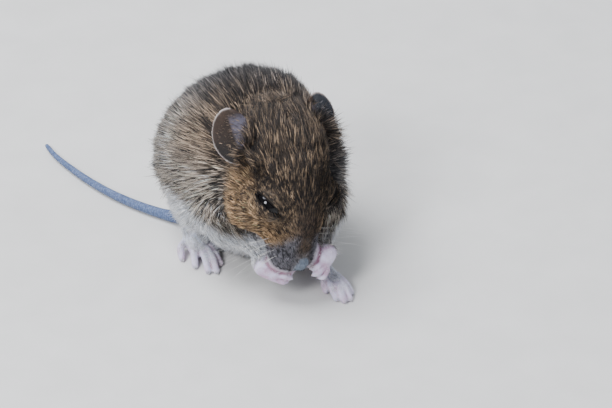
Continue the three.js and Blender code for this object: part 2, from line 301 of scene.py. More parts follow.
def tube(points, radii, sides, steps):
    """A round-ended tube on a curve, as vertices and faces."""
    line, run = along_curve(points, steps)
    radius = np.interp(run / run[-1], np.linspace(0, 1, len(radii)), radii)
    way = unit(np.gradient(line, axis=0))
    side = unit(np.cross(way, [0, 0, 1.0]))
    over = np.cross(side, way)
    turn = np.linspace(0, 2 * np.pi, sides, endpoint=False)
    rings = []
    for lift, share in [(-1.0, 0.02), (-0.85, 0.53), (-0.5, 0.87)]:
        rings.append((line[0] + way[0] * lift * radius[0], radius[0] * share, 0))
    rings += [(line[i], radius[i], i) for i in range(steps)]
    for lift, share in [(0.5, 0.87), (0.85, 0.53), (1.0, 0.02)]:
        rings.append((line[-1] + way[-1] * lift * radius[-1], radius[-1] * share, steps - 1))
    verts = np.vstack([c + r * (np.cos(turn)[:, None] * side[i] + np.sin(turn)[:, None] * over[i])
                       for c, r, i in rings])
    return verts, tube_faces(len(rings), sides)


def joined_shapes(shapes):
    """Several shapes' vertices and faces as one."""
    verts, faces, base = [], [], 0
    for v, f in shapes:
        verts.append(v)
        faces += [[i + base for i in face] for face in f]
        base += len(v)
    return np.vstack(verts), faces


def ball(centre, radius, rows=24, sides=32):
    """A round or oval ball, as vertices and faces."""
    lat = np.linspace(0, np.pi, rows + 1)[1:-1]
    lon = np.linspace(0, 2 * np.pi, sides, endpoint=False)
    around = np.stack([np.outer(np.sin(lat), np.cos(lon)), np.outer(np.sin(lat), np.sin(lon)),
                       np.outer(np.cos(lat), np.ones(sides))], -1).reshape(-1, 3)
    verts = np.vstack([around, [[0, 0, 1], [0, 0, -1]]]) * radius + centre
    faces = [[r * sides + j, (r + 1) * sides + j, (r + 1) * sides + (j + 1) % sides,
              r * sides + (j + 1) % sides] for r in range(rows - 2) for j in range(sides)]
    top, low = len(around), len(around) + 1
    faces += [[top, j, (j + 1) % sides] for j in range(sides)]
    faces += [[low, (rows - 2) * sides + (j + 1) % sides, (rows - 2) * sides + j] for j in range(sides)]
    return verts, faces


def ear_frame(name):
    place, long, face = (np.array(v, float) for v in EARS[name])
    long = unit(long)
    face = unit(face - long * (face @ long))
    return place, long, face, np.cross(long, face), np.sign(place[0])


def ear_shell(name):
    """A cupped oval shell with a rolled rim, thicker at its root."""
    place, long, face, wide, free = ear_frame(name)
    verts, faces = ball(np.zeros(3), 1.0, 40, 56)
    x, y, z = verts.T
    thick = np.sign(z) * np.abs(z) ** 0.4 * EAR_THICKNESS / 2
    curl = EAR_CUP * (free * x * np.abs(x) + 0.3 * y * y - 0.3)
    half = EAR_WIDTH / 2 * np.where(free * x > 0, 1, EAR_ROOT_SHARE)
    p = (place + np.outer(x * half, wide) + np.outer(y * EAR_LENGTH / 2, long)
         + np.outer(thick + curl, face))
    return from_head(p), faces


def object_from(name, verts, faces):
    mesh = bpy.data.meshes.new(name)
    mesh.from_pydata([tuple(v) for v in np.asarray(verts) * MM], [], faces)
    mesh.update()
    obj = bpy.data.objects.new(name, mesh)
    bpy.context.scene.collection.objects.link(obj)
    return obj


# %% Gather the flesh
SWELL = 0.42  # closes the thin cuts between the solids
BODY_NODES = ["head", "neck", "trunk", "thigh_right", "thigh_left", "forelimb_right", "forelimb_left"]
BARE_NODES = ["nose", "ear_right", "ear_left", "tail_base", "tail_middle", "tail_tip",
              "hind_foot_right", "hind_foot_left", "forepaw_right", "forepaw_left"]


def read_points(mesh):
    points = np.empty(len(mesh.vertices) * 3)
    mesh.vertices.foreach_get("co", points)
    return points.reshape(-1, 3) / MM


def read_edges(mesh):
    edges = np.empty(len(mesh.edges) * 2, int)
    mesh.edges.foreach_get("vertices", edges)
    return edges.reshape(-1, 2)


def node_geometry(name):
    """A CAD node's corners in millimetres, with shared corners joined, and its triangles."""
    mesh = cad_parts[name].data
    shared, index = np.unique(read_points(mesh).round(4), axis=0, return_inverse=True)
    tris = np.array([[index.ravel()[v] for v in poly.vertices] for poly in mesh.polygons])
    return shared, tris


def swollen(points, tris, swell):
    corners = points[tris]
    flat = np.cross(corners[:, 1] - corners[:, 0], corners[:, 2] - corners[:, 0])
    normal = np.zeros_like(points)
    for k in range(3):
        for c in range(3):
            normal[:, c] += np.bincount(tris[:, k], flat[:, c], len(points))
    return points + unit(normal) * swell


def ear_root(name):
    place, long, face, wide, free = ear_frame(name)
    return tube(from_head([place - long * 2.5 - wide * free * 1.6, place - long * 4.6 - wide * free * 2.8]),
                (1.5, 1.9), 20, 8)


pieces = []
for name in BODY_NODES:
    points, tris = node_geometry(name)
    pieces.append((swollen(points, tris, SWELL), tris.tolist()))
for name in EARS:
    pieces += [ear_shell(name), ear_root(name)]
for name, (sole, radii, toes) in FEET.items():
    pieces.append(tube(sole, radii, 20, 20))
    pieces += [tube(toe, TOE_RADII[name[:4]], 14, 20) for toe in toes]
pieces.append(tube(TAIL, TAIL_RADII, 20, 160))
pieces.append(ball(from_head([0, 0.9, 0.1]), np.array([1.3, 1.3, 1.2])))
for side in (-1, 1):
    pieces.append(ball(from_head(EYE_PLACE * [side, 1, 1]), EYE_RADIUS + 0.3))
verts, faces = joined_shapes(pieces)
skin = object_from("skin", verts, faces)
report("flesh gathered:", len(faces), "faces in", len(pieces), "shapes")

# %% One surface round it all
VOXEL = 0.20  # mm, fine enough to keep the toes apart
modifier = skin.modifiers.new("one_skin", "REMESH")
modifier.mode, modifier.voxel_size = "VOXEL", VOXEL * MM
joined = bpy.data.meshes.new_from_object(skin.evaluated_get(bpy.context.evaluated_depsgraph_get()))
skin.modifiers.clear()
skin.data = joined


def loose_parts(mesh):
    """Which connected part each vertex belongs to."""
    edges = read_edges(mesh)
    label = np.arange(len(mesh.vertices))
    while True:
        low = np.minimum(label[edges[:, 0]], label[edges[:, 1]])
        new = label.copy()
        np.minimum.at(new, edges[:, 0], low)
        np.minimum.at(new, edges[:, 1], low)
        new = new[new]
        if (new == label).all():
            return label
        label = new


label = loose_parts(joined)
main = np.bincount(label).argmax()
bm = bmesh.new()
bm.from_mesh(joined)
bmesh.ops.delete(bm, geom=[v for v, part in zip(bm.verts[:], label) if part != main], context="VERTS")

# %% Finer where the face needs it
def near_face(points):
    """Whether a point lies where eyelids or nostrils need a finer mesh."""
    head = to_head(points)
    eyes = np.minimum(*(np.linalg.norm(head - EYE_PLACE * [s, 1, 1], axis=1) for s in (-1, 1)))
    nose = np.linalg.norm(head - [0, 0.8, -0.2], axis=1)
    return (eyes < 3.3) | (nose < 1.9)


bm.verts.ensure_lookup_table()
for _ in range(2):
    points = np.array([v.co for v in bm.verts]) / MM
    fine = near_face(points)
    bm.verts.index_update()
    edges = [e for e in bm.edges if fine[e.verts[0].index] and fine[e.verts[1].index]]
    bmesh.ops.subdivide_edges(bm, edges=edges, cuts=1, use_grid_fill=True)
bmesh.ops.triangulate(bm, faces=[f for f in bm.faces if len(f.verts) > 4])
bm.to_mesh(joined)
bm.free()
report("skin:", len(joined.vertices), "vertices,", len(joined.polygons), "faces")

# %% Which part each point belongs to
corner_sets, face_sets, face_names, base = [], [], [], 0
for name in BODY_NODES + BARE_NODES:
    points, tris = node_geometry(name)
    corner_sets.append(points)
    face_sets += (tris + base).tolist()
    face_names += [name] * len(tris)
    base += len(points)
solids = BVHTree.FromPolygons([Vector(p) for p in np.vstack(corner_sets)], face_sets)
face_names = np.array(face_names)


def around_mean(values, edges, degree):
    """The mean of each vertex's neighbours."""
    total = np.empty_like(values)
    for k in range(values.shape[1]):
        total[:, k] = (np.bincount(edges[:, 0], values[edges[:, 1], k], len(values))
                       + np.bincount(edges[:, 1], values[edges[:, 0], k], len(values)))
    return total / degree[:, None]


P = read_points(joined)
E = read_edges(joined)
DEGREE = np.bincount(E.ravel(), minlength=len(P)).astype(float)
nearest = np.array([solids.find_nearest(Vector(p))[2] for p in P])
owner = face_names[nearest]
PART = {}
shares = np.stack([(owner == n).astype(float) for n in BODY_NODES + BARE_NODES], 1)
for _ in range(14):
    shares = 0.5 * shares + 0.5 * around_mean(shares, E, DEGREE)
for k, n in enumerate(BODY_NODES + BARE_NODES):
    PART[n] = shares[:, k]
EAR = PART["ear_right"] + PART["ear_left"]
TAILS = PART["tail_base"] + PART["tail_middle"] + PART["tail_tip"]
HIND = PART["hind_foot_right"] + PART["hind_foot_left"]
FORE = PART["forepaw_right"] + PART["forepaw_left"]
ARM = PART["forelimb_right"] + PART["forelimb_left"]
THIGH = PART["thigh_right"] + PART["thigh_left"]
BODY = PART["trunk"] + PART["neck"] + THIGH + ARM
BARE = EAR + TAILS + HIND + FORE + PART["nose"]
report("parts mapped")

# %% Smooth it, and pull it in by the coat's depth
HP = to_head(P)


def depth_of_coat():
    """How deep the coat is over each point, in millimetres."""
    nose_to_neck = ease(1.5, 17, HP[:, 1])
    near_eye = np.minimum(*(np.linalg.norm(HP - EYE_PLACE * [s, 1, 1], axis=1) for s in (-1, 1)))
    head = (0.22 + 1.0 * nose_to_neck) * ease(2.2, 5.0, near_eye)
    depth = PART["head"] * head + PART["neck"] * 1.9 + PART["trunk"] * 2.2 + THIGH * 2.0 + ARM * 1.1
    low = 1 - 0.55 * ease(6, 1, P[:, 2])  # thinner where it lies on the floor
    return depth * low


def swell_taken():
    return SWELL * np.clip(PART["head"] + BODY, 0, 1)


def smooth(points, rounds, rate):
    for _ in range(rounds):
        points = points + (around_mean(points, E, DEGREE) - points) * rate[:, None]
    return points


def normals_of(mesh, points):
    mesh.vertices.foreach_set("co", (points * MM).ravel())
    mesh.update()
    normal = np.empty(len(mesh.vertices) * 3)
    mesh.vertex_normals.foreach_get("vector", normal)
    return normal.reshape(-1, 3)


P = smooth(P, 26, 0.5 * np.clip(BODY, 0, 1))
P = smooth(P, 6, 0.5 * np.clip(PART["head"] + 0.4 * BARE, 0, 1))
COAT_DEPTH = depth_of_coat()
inward = smooth(np.repeat((swell_taken() + COAT_DEPTH)[:, None], 3, 1), 10, np.full(len(P), 0.5))[:, :1]
normal = normals_of(joined, P)
P = P - normal * inward
P = smooth(P, 4, 0.4 * np.clip(BODY, 0, 1))
P[:, 2] = np.maximum(P[:, 2], 0.02)
HP = to_head(P)
report("skin lies", round(float(COAT_DEPTH.max()), 2), "mm under the coat's tips at most")

# %% [markdown]
# ## Eyelids, nostrils and mouth
# The eyeball of a mouse is nearly as deep as its face is wide, and the lids are thin rims that ride on
# it. The skin near each eye is drawn over the ball as a dome and opened along an almond-shaped slit: the
# eyes of this sleepy young mouse are half shut. Nostrils and the cleft under the nose are pressed in.

# %% Eyelids
SLIT_CENTRE = unit(np.array([0.67, -0.07, 0.74]))  # from the left eye's centre, in the head's frame
SLIT_WAY = unit(np.array([0.45, 0.85, -0.28]))  # towards the outer corner
LID = 0.30  # mm, lid over eyeball
SLIT_HALF_ANGLE = 1.30  # from the middle to a corner, in radians
SLIT_OPEN = (0.22, 0.25)  # half openings towards the brow and the cheek, in radians


def slit_distance(head_points, side):
    """Distance in mm outside the edge of the eye's opening (negative inside it), and from the centre."""
    rel = head_points - EYE_PLACE * [side, 1, 1]
    far = np.linalg.norm(rel, axis=1)
    mirror = np.array([side, 1, 1])
    centre = SLIT_CENTRE * mirror
    way = unit(SLIT_WAY * mirror - centre * (centre @ (SLIT_WAY * mirror)))
    brow = np.cross(centre, way) * side * -1
    u = rel / far[:, None]
    along = np.arctan2(u @ way, u @ centre)
    across = np.arcsin(np.clip(u @ brow, -1, 1))
    taper = np.clip(1 - (along / SLIT_HALF_ANGLE) ** 2, -1, 1)
    half = np.where(across > 0, SLIT_OPEN[0], SLIT_OPEN[1]) * taper
    beyond = np.maximum(np.abs(along) - SLIT_HALF_ANGLE, 0)
    outside = np.hypot(np.maximum(np.abs(across) - np.maximum(half, 0), 0), beyond)
    inside = np.maximum(half - np.abs(across), 0) * (half > 0)
    return (outside - inside) * EYE_RADIUS, far


LID_EDGE = np.full(len(P), 9.0)
for side in (-1, 1):
    edge, far = slit_distance(HP, side)
    rel = HP - EYE_PLACE * [side, 1, 1]
    facing = (rel / far[:, None]) @ (SLIT_CENTRE * [side, 1, 1])
    close = (far < 4.4) & (facing > -0.35)
    fold = 0.07 * np.exp(-((edge - 0.62) / 0.13) ** 2) + 0.05 * np.exp(-((edge - 1.15) / 0.16) ** 2)
    dome = EYE_RADIUS + LID * ease(-0.02, 0.10, edge) + 0.16 * np.exp(-((edge - 0.3) / 0.22) ** 2) - fold
    over = np.where(close, 0.5 * (far + dome + np.sqrt((far - dome) ** 2 + 0.04)), far)
    radius = np.where(close & (edge < 0.05), EYE_RADIUS - 0.35 + (LID + 0.5) * ease(-0.10, 0.05, edge), over)
    HP = np.where(close[:, None], EYE_PLACE * [side, 1, 1] + rel / far[:, None] * radius[:, None], HP)
    LID_EDGE = np.where(close, np.minimum(LID_EDGE, edge), LID_EDGE)
P = from_head(HP)
around_lids = np.where((LID_EDGE > -0.5) & (LID_EDGE < 2.2), 0.35, 0.0)
P = smooth(P, 2, around_lids)
report("eyelids opened")

# %% Nostrils, cleft and mouth
HP = to_head(P)


def press(points, centre, radius, depth, normal):
    """Presses a round dimple into the surface."""
    far = np.linalg.norm((points - centre) / radius, axis=1)
    return points - normal * (depth * np.exp(-far ** 2))[:, None]


normal = normals_of(joined, P) @ HEAD_TURNING
for side in (-1, 1):
    HP = press(HP, [side * 0.62, -0.12, -0.02], np.array([0.24, 0.4, 0.17]), 0.40, normal)
    HP = press(HP, [side * 0.92, 0.22, 0.16], np.array([0.2, 0.35, 0.13]), 0.22, normal)
cleft = 0.30 * np.exp(-(HP[:, 0] / 0.16) ** 2) * ease(-0.1, -0.6, HP[:, 2]) * ease(2.6, 1.2, HP[:, 1])
mouth = 0.42 * np.exp(-((HP[:, 2] + 2.75 + 0.10 * HP[:, 1]) / 0.22) ** 2)
mouth = mouth * ease(7.5, 5.0, HP[:, 1]) * ease(0.6, 1.8, HP[:, 1])
HP = HP - normal * ((cleft + mouth) * np.clip(PART["head"] + PART["nose"], 0, 1))[:, None]
P = from_head(HP)
P = smooth(P, 1, np.where(near_face(P), 0.4, 0.0))
normal = normals_of(joined, P)
report("nostrils and mouth pressed in")

# %% [markdown]
# ## Markings
# A wood mouse is dark grizzled brown on the back, warmer and paler on the flanks and cheeks, and
# grey-white below, round the muzzle and on the feet. The same formula colours the skin and the tufts,
# so that no bare seam shows between the hairs.

# %% The markings' formula
HP = to_head(P)
BACK, FLANK, CHEEK, NAPE = tone("#6e6a69"), tone("#cdbfaf"), tone("#b8966f"), tone("#957f67")
CROWN, BRIDGE, MUZZLE = tone("#7b6853"), tone("#493d35"), tone("#757379")
BELLY, FOOT_HAIR, TAIL_HAIR = tone("#eceff6"), tone("#f2f3fa"), tone("#7f8797")
EAR_HAIR, DARKEST = tone("#7a6757"), tone("#120f10")


def waves(points, size, seed):
    """Soft random swells over the body, about size mm apart, from -1 to 1."""
    turns = np.random.default_rng(seed)
    total = 0
    for _ in range(6):
        total = total + np.sin(points @ (unit(turns.normal(size=3)) * 2 * np.pi / size
                                         * turns.uniform(0.7, 1.4)) + turns.uniform(0, 6.3))
    return total / 3.2


def mix(a, b, share):
    return a + (b - a) * np.asarray(share)[..., None]


def markings(points):
    """Coat colour at each point, with painted shade in the hollow before each ear, and how far it is towards
    the dark back (0 to 1).
    """
    head = to_head(points)
    x, y, z = points.T
    wave = waves(points, 6.0, 3)
    spine = np.abs(x - 1.6 + 0.28 * y) + 0.7 * wave
    dark = ease(10.0, 5.0, spine) * ease(8, 18, z)
    dark = dark * (1 - 0.5 * ease(4, 15, y))
    body = mix(mix(FLANK, BACK, dark), NAPE, 0.9 * ease(4.0, -3.0, y + 0.6 * wave) * ease(16, 22, z))
    edge = 12.0 + 0.45 * np.minimum(y + 5, 0) + 1.2 * np.exp(-(y / 3.0) ** 2) - 0.4 * np.maximum(y - 4, 0)
    belly = ease(0.9, -0.9, z + 0.5 * wave - edge)
    body = mix(body, BELLY, belly)
    hx, hy, hz = head.T
    crown = ease(0.5, 4.5, hz + 0.8 * wave + 0.35 * np.maximum(hy - 14, 0))
    face = mix(CHEEK, CROWN, crown)
    bridge = ease(2.4, 1.0, np.abs(hx)) * ease(12, 4, hy) * ease(0.0, 1.2, hz)
    face = mix(face, BRIDGE, 0.85 * bridge)
    blaze = ease(1.7, 0.5, np.abs(hx)) * ease(0.8, 2.4, hy) * ease(0.6, 1.6, hz)
    pad = ease(4.5, 3.3, hy + 0.3 * np.minimum(hz, 0.0) + 0.3 * wave) * (1 - blaze)
    throat = ease(-3.2, -5.0, hz + 0.25 * (12 - hy))
    face = mix(face, MUZZLE, np.clip(pad + throat, 0, 1))
    # painted shade darkens the hollow in front of each ear; the eye corners are dark coat
    for side in (-1, 1):  # a dark hollow in front of each ear, and dark corners to each eye
        hollow = np.linalg.norm((head - [side * 6.5, 19.9, 4.6]) / [1.2, 1.3, 1.2], axis=1)
        outer = np.linalg.norm(head - (EYE_PLACE + [0.9, 2.1, -0.1]) * [side, 1, 1], axis=1)
        inner = np.linalg.norm(head - (EYE_PLACE + [0.4, -2.3, 1.1]) * [side, 1, 1], axis=1)
        for far, reach in ((hollow, 1.0), (outer, 0.9), (inner, 0.8)):
            face = mix(face, DARKEST, 0.85 * ease(reach, 0.35 * reach, far))
    return body, face, dark, belly


body, head_coat, dark, belly = markings(P)
head_share = np.clip(PART["head"] + PART["nose"], 0, 1)
GROUND = mix(body, head_coat, head_share * ease(25, 16, HP[:, 1]))
for share, colour in ((EAR, EAR_HAIR), (HIND + FORE, FOOT_HAIR), (TAILS, TAIL_HAIR)):
    GROUND = mix(GROUND, colour, np.clip(share, 0, 1))
DARK = np.clip(dark * BODY + head_share * ease(0.5, 4.5, HP[:, 2]) * ease(5, 9, HP[:, 1]) + EAR * 0.3, 0, 1)
NOSE_PAD = ease(1.5, 1.15, np.linalg.norm((HP - [0, 0.6, 0.2]) / [0.95, 1.15, 1.1], axis=1))
LID_RIM = ease(0.26, 0.10, LID_EDGE)
EAR_X, EAR_Y, EAR_Z = (np.zeros(len(P)) for _ in range(3))
for name in EARS:
    place, long, face, wide, free = ear_frame(name)
    rel = HP - place
    own = PART[name] > 0.02
    EAR_X[own] = (rel[own] @ wide) * free / (EAR_WIDTH / 2)
    EAR_Y[own] = (rel[own] @ long) / (EAR_LENGTH / 2)
    EAR_Z[own] = (normal[own] @ HEAD_TURNING) @ face
INNER = EAR * ease(-0.1, 0.3, EAR_Z)
CONCH = INNER * ease(0.10, -0.08, EAR_X) * ease(-0.62, -0.35, EAR_Y) * ease(0.78, 0.5, EAR_Y)
# hair of the crown grows over the ear's root, and further over the left one's
FRINGE = EAR * ease(-0.30, -0.45, EAR_X - 0.2 * (HP[:, 0] > 0))
# painted shade: the inside of each ear turns near black towards its lower edge
SHADE = INNER * ease(0.5, -0.55, EAR_Y) * ease(-0.25, 0.1, EAR_X)  # the hollow behind the ear's lower edge
EDGE = EAR * ease(0.90, 0.97, np.hypot(np.maximum(EAR_X, 0), EAR_Y))

# painted shade: the deeper a point of a paw or foot lies in a crease, the darker its pink
flat = P
for _ in range(5):
    flat = 0.3 * flat + 0.7 * around_mean(flat, E, DEGREE)
CREASE_SHADE = np.clip(((flat - P) * normal).sum(1) / 0.05, 0, 1)  # how deep a point lies in a crease
SOCK = HIND * (0.15 + 0.85 * ease(1.1, 2.6, P[:, 2]))

# %% Tail rings
tail_line, tail_run = along_curve(TAIL, 160)
TAIL_ALONG = np.zeros(len(P))
on_tail = np.where(TAILS > 0.02)[0]
for start in range(0, len(on_tail), 4000):
    rows = on_tail[start:start + 4000]
    gap = np.linalg.norm(P[rows][:, None] - tail_line[None], axis=2)
    close = gap.argmin(1)
    way = unit(np.gradient(tail_line, axis=0))[close]
    TAIL_ALONG[rows] = tail_run[close] + ((P[rows] - tail_line[close]) * way).sum(1)
report("markings worked out")

# %% Attributes that the skin's material reads
def store(mesh, name, values, domain="POINT"):
    values = np.asarray(values, np.float32)
    if values.ndim == 2:
        layer = mesh.attributes.new(name, "FLOAT_COLOR", domain)
        layer.data.foreach_set("color", np.hstack([values, np.ones((len(values), 1), np.float32)]).ravel())
    else:
        mesh.attributes.new(name, "FLOAT", domain).data.foreach_set("value", values)


GROUND = mix(GROUND, head_coat, np.clip(FRINGE, 0, 1))
slate_ear = EAR * (HP[:, 0] > 0) * (1 - FRINGE)  # the left ear is greyer than the right one
GROUND = mix(GROUND, tone("#8b8d94"), 0.7 * slate_ear)
store(joined, "ground", GROUND)
for name, values in (("nose", NOSE_PAD), ("lid", LID_RIM), ("ear", EAR), ("tail", TAILS),
                     ("foot", np.clip(HIND + FORE, 0, 1)), ("tail_along", TAIL_ALONG), ("conch", CONCH),
                     ("ear_edge", EDGE), ("shade", SHADE), ("fold", CREASE_SHADE), ("sock", SOCK),
                     ("slate_ear", slate_ear)):
    store(joined, name, values)
joined.shade_smooth()

# %% [markdown]
# ## The skin's material
# Living skin is matt and a little translucent: pale pink on the paws, lilac grey on the ears, blue grey
# on the tail and nose, with fine creases. Under the coat it only shows as a dark, finely streaked ground
# between the hairs. The tail carries rings of scales, about three to a millimetre. Painted shade darkens
# the creases of the paws and feet, and the hollow low inside each ear.

# %% Skin material
material, tree = new_material("living_skin_matt")
place = add_node(tree, "ShaderNodeTexCoord").outputs["Object"]
fine = add_node(tree, "ShaderNodeTexNoise", {"Vector": place, "Scale": 3.2 * PER_METRE, "Detail": 4.0})
broad = add_node(tree, "ShaderNodeTexNoise", {"Vector": place, "Scale": 0.5 * PER_METRE, "Detail": 3.0})
creases = add_node(tree, "ShaderNodeTexVoronoi", {"Vector": place, "Scale": 3.0 * PER_METRE})
read = {name: add_node(tree, "ShaderNodeAttribute", attribute_name=name).outputs["Fac"]
        for name in ("ear", "slate_ear", "conch", "shade", "ear_edge", "foot", "sock", "fold", "tail",
                     "tail_along", "nose", "lid")}
ground = add_node(tree, "ShaderNodeAttribute", attribute_name="ground").outputs["Color"]
TAIL_RINGS = 2.6  # to a millimetre
rings = add_node(tree, "ShaderNodeMath", {0: read["tail_along"], 1: 2 * np.pi * TAIL_RINGS},
                 operation="MULTIPLY")
rings = add_node(tree, "ShaderNodeMath", {0: rings}, operation="SINE")
ringed = add_node(tree, "ShaderNodeMath", {0: rings, 1: 0.25, 2: 0.3}, operation="MULTIPLY_ADD")
parts = (  # each bare part's colours, laid over one another in this order
    ("ear", broad, [(0.3, "#231a15"), (0.55, "#3a2d25"), (0.75, "#55453a")]),
    ("slate_ear", broad, [(0.3, "#1c1e23"), (0.7, "#3a3d45")]),
    ("conch", broad, [(0.3, "#45424c"), (0.55, "#5b5762"), (0.75, "#726d79")]),
    # painted shade, near black, low inside each ear
    ("shade", fine, [(0.3, "#0b0908"), (0.7, "#191310")]),
    ("ear_edge", fine, [(0.3, "#8d827c"), (0.55, "#aea39d"), (0.75, "#c6beba")]),
    ("foot", broad, [(0.35, "#b99bb4"), (0.5, "#cbbdd5"), (0.65, "#dad4ea")]),
    ("sock", fine, [(0.3, "#bcc1d0"), (0.7, "#eef0fa")]),
    ("tail", fine, [(0.3, "#43547a"), (0.5, "#5a6d92"), (0.7, "#7b8cb1")]),
    ("nose", fine, [(0.3, "#4f5763"), (0.6, "#6a7481"), (0.8, "#868f9a")]),
    ("lid", fine, [(0.3, "#0f0c0b"), (0.7, "#1d1714")]),
)
# the foot's layer darkens its creases with painted shade; the tail's rings are its own pattern
lines = {"foot": (read["fold"], "#8d6176"), "tail": (ringed, "#4d566a")}  # creases and rings
colour = add_node(tree, "ShaderNodeMix", {0: fine, 6: srgb("#241d1a"), 7: ground}, data_type="RGBA")
for name, pattern, stops in parts:
    over = add_node(tree, "ShaderNodeValToRGB", {"Fac": pattern}, stops)
    if name in lines:
        share, hue = lines[name]
        over = add_node(tree, "ShaderNodeMix", {0: share, 6: over, 7: srgb(hue)}, data_type="RGBA")
    colour = add_node(tree, "ShaderNodeMix", {0: read[name], 6: colour, 7: over}, data_type="RGBA")
scales = add_node(tree, "ShaderNodeMath", {0: rings, 1: read["tail"]}, operation="MULTIPLY")
height = add_node(tree, "ShaderNodeMath", {0: scales, 1: 0.35, 2: fine}, operation="MULTIPLY_ADD")
height = add_node(tree, "ShaderNodeMath", {0: creases, 1: 0.8, 2: height}, operation="MULTIPLY_ADD")
bump = add_node(tree, "ShaderNodeBump", {"Height": height, "Strength": 0.5, "Distance": 0.08 * MM})
rough = add_node(tree, "ShaderNodeMath", {0: fine, 1: 0.2, 2: 0.45}, operation="MULTIPLY_ADD")
finish_material(tree, add_node(tree, "ShaderNodeBsdfPrincipled", {
    "Base Color": colour, "Roughness": rough, "Normal": bump, "Specular IOR Level": 0.25,
    "Subsurface Weight": 0.12,
    "Subsurface Radius": (0.7 * MM, 0.3 * MM, 0.2 * MM), "Subsurface Scale": 1.0}))
joined.materials.clear()
joined.materials.append(material)

# %% Unwrap the skin
bpy.context.view_layer.objects.active = skin
skin.select_set(True)
bpy.ops.object.mode_set(mode="EDIT")
bpy.ops.mesh.select_all(action="SELECT")
bpy.ops.uv.smart_project(angle_limit=np.radians(70), island_margin=0.004)
bpy.ops.object.mode_set(mode="OBJECT")
joined = skin.data
report("skin unwrapped")

# %% [markdown]
# ## Eyes
# A mouse's eye is a black bead: the iris is so dark a brown that it hardly parts from the pupil, and
# the clear cornea over it gives sharp reflections. Each is a fine ball that sits in its socket.

# %% Eyeballs
material = clouded_material(
    "wet_dark_eye", 1.6 * PER_METRE, 3.0, [(0.35, "#040305"), (0.6, "#0c090b"), (0.8, "#181012")],
    {"Roughness": 0.07, "IOR": 1.34, "Specular IOR Level": 0.4, "Coat Weight": 0.15, "Coat Roughness": 0.03})
EYES = []
for side, name in ((-1, "eyeball_right"), (1, "eyeball_left")):
    eyeball = object_from(name, *ball(from_head(EYE_PLACE * [side, 1, 1]), EYE_RADIUS, 48, 64))
    eyeball.data.shade_smooth()
    eyeball.data.materials.append(material)
    EYES.append(eyeball)
report("eyes set", EYE_RADIUS * 2, "mm across")

# %% [markdown]
# ## Claws
# Each toe ends in a small curved claw of clear horn, pale at its tip. They are separate pieces, rooted
# in the toes.

# %% Claw shapes
CLAW_RINGS, CLAW_SIDES = 7, 8
CLAW_LENGTH = {"hind": 0.62, "fore": 0.55}  # mm
CLAW_RADIUS = 0.17  # mm, at its root


def claw(root, way, length, radius):
    """A curved, tapered claw, deeper than it is wide."""
    t = np.linspace(0, 1, CLAW_RINGS)[:, None]
    way = unit(way)
    down = np.array([0, 0, -1.0])
    line = root + way * length * (t - 0.12 * t * t) + down * length * 0.42 * t * t + [0, 0, 0.10]
    side = unit(np.cross(way, down))
    turn = np.linspace(0, 2 * np.pi, CLAW_SIDES, endpoint=False)
    rings = []
    for k in range(CLAW_RINGS):
        thick = radius * (1 - t[k, 0]) ** 0.7 + 0.01
        lift = np.cross(side, unit(line[min(k + 1, CLAW_RINGS - 1)] - line[max(k - 1, 0)]))
        rings.append(line[k] + thick * (0.72 * np.cos(turn)[:, None] * side + np.sin(turn)[:, None] * lift))
    verts = np.vstack(rings)
    verts[:, 2] = np.maximum(verts[:, 2], 0.0)
    return verts, tube_faces(CLAW_RINGS, CLAW_SIDES)


# %% Claws on every toe
material = clouded_material(
    "clear_horn_claw", 4.0 * PER_METRE, 3.0, [(0.3, "#a58f88"), (0.5, "#cdbdb4"), (0.75, "#e6dcd4")],
    {"Roughness": 0.28, "IOR": 1.54})
CLAWS = {}
for name, (sole, radii, toes) in FEET.items():
    shapes = []
    for toe in toes:
        toe = np.array(toe, float)
        way = toe[-1] - toe[-2]
        if name.startswith("hind"):
            way[2] *= 0.3
        shapes.append(claw(toe[-1] - unit(way) * 0.05, way, CLAW_LENGTH[name[:4]], CLAW_RADIUS))
    CLAWS[name] = object_from("claws_" + name, *joined_shapes(shapes))
    CLAWS[name].data.materials.append(material)
    CLAWS[name].data.shade_smooth()
report("claws:", sum(len(f[2]) for f in FEET.values()))

# %% [markdown]
# ## The lie of the coat
# Hair lies back from the nose, over the crown and down the back and flanks, and along each limb towards
# the toes. That direction is worked out for every point of the skin, laid flat on it and evened out, so
# that the tufts stream round the body as they do on the animal.

# %% Direction of the hair at each point
FOREHEAD = np.array([1.4, -14.0, 19.0])


def lie_of_the_coat():
    out = HP * [0.05, 0, 0.045] + [0, 1.0, 0]
    out[:, 2] -= 0.35 * ease(2.0, -3.0, HP[:, 2]) * ease(4, 12, HP[:, 1])
    cheek = (ease(3.0, 5.0, np.abs(HP[:, 0])) * ease(3.6, 1.2, HP[:, 2]))[:, None]
    out = unit(out) * (1 - 0.75 * cheek) + np.array([0, 0.3, -1.0]) * 0.75 * cheek
    head = way_from_head(unit(out))
    trunk = unit(P - FOREHEAD)
    trunk[:, 2] -= 0.45 * ease(24, 10, P[:, 2])
    lie = head * head_share[:, None] + unit(trunk) * (PART["trunk"] + PART["neck"] + THIGH)[:, None]
    for name, way in (("forelimb_right", (2.8, -6.0, -3.4)), ("forelimb_left", (-1.2, -5.0, -3.4)),
                      ("forepaw_right", (1.6, -2.4, -0.9)), ("forepaw_left", (-1.3, -2.0, -1.2)),
                      ("hind_foot_right", (-1.0, -9.0, -3.4)), ("hind_foot_left", (0.8, -9.0, -0.6))):
        lie += unit(np.array(way, float)) * PART[name][:, None]
    for name in EARS:
        place, long, face, wide, free = ear_frame(name)
        lie += way_from_head(long * 0.4 + wide * free) * PART[name][:, None]
    way = unit(np.gradient(tail_line, axis=0))
    spot = np.clip(np.searchsorted(tail_run, TAIL_ALONG), 0, len(way) - 1)
    return unit(lie + way[spot] * TAILS[:, None] * 1.5)


def flatten(ways):
    return unit(ways - normal * (ways * normal).sum(1)[:, None])


LIE = flatten(lie_of_the_coat())
for _ in range(12):
    LIE = flatten(0.4 * LIE + 0.6 * around_mean(LIE, E, DEGREE))
report("lie of the coat worked out")

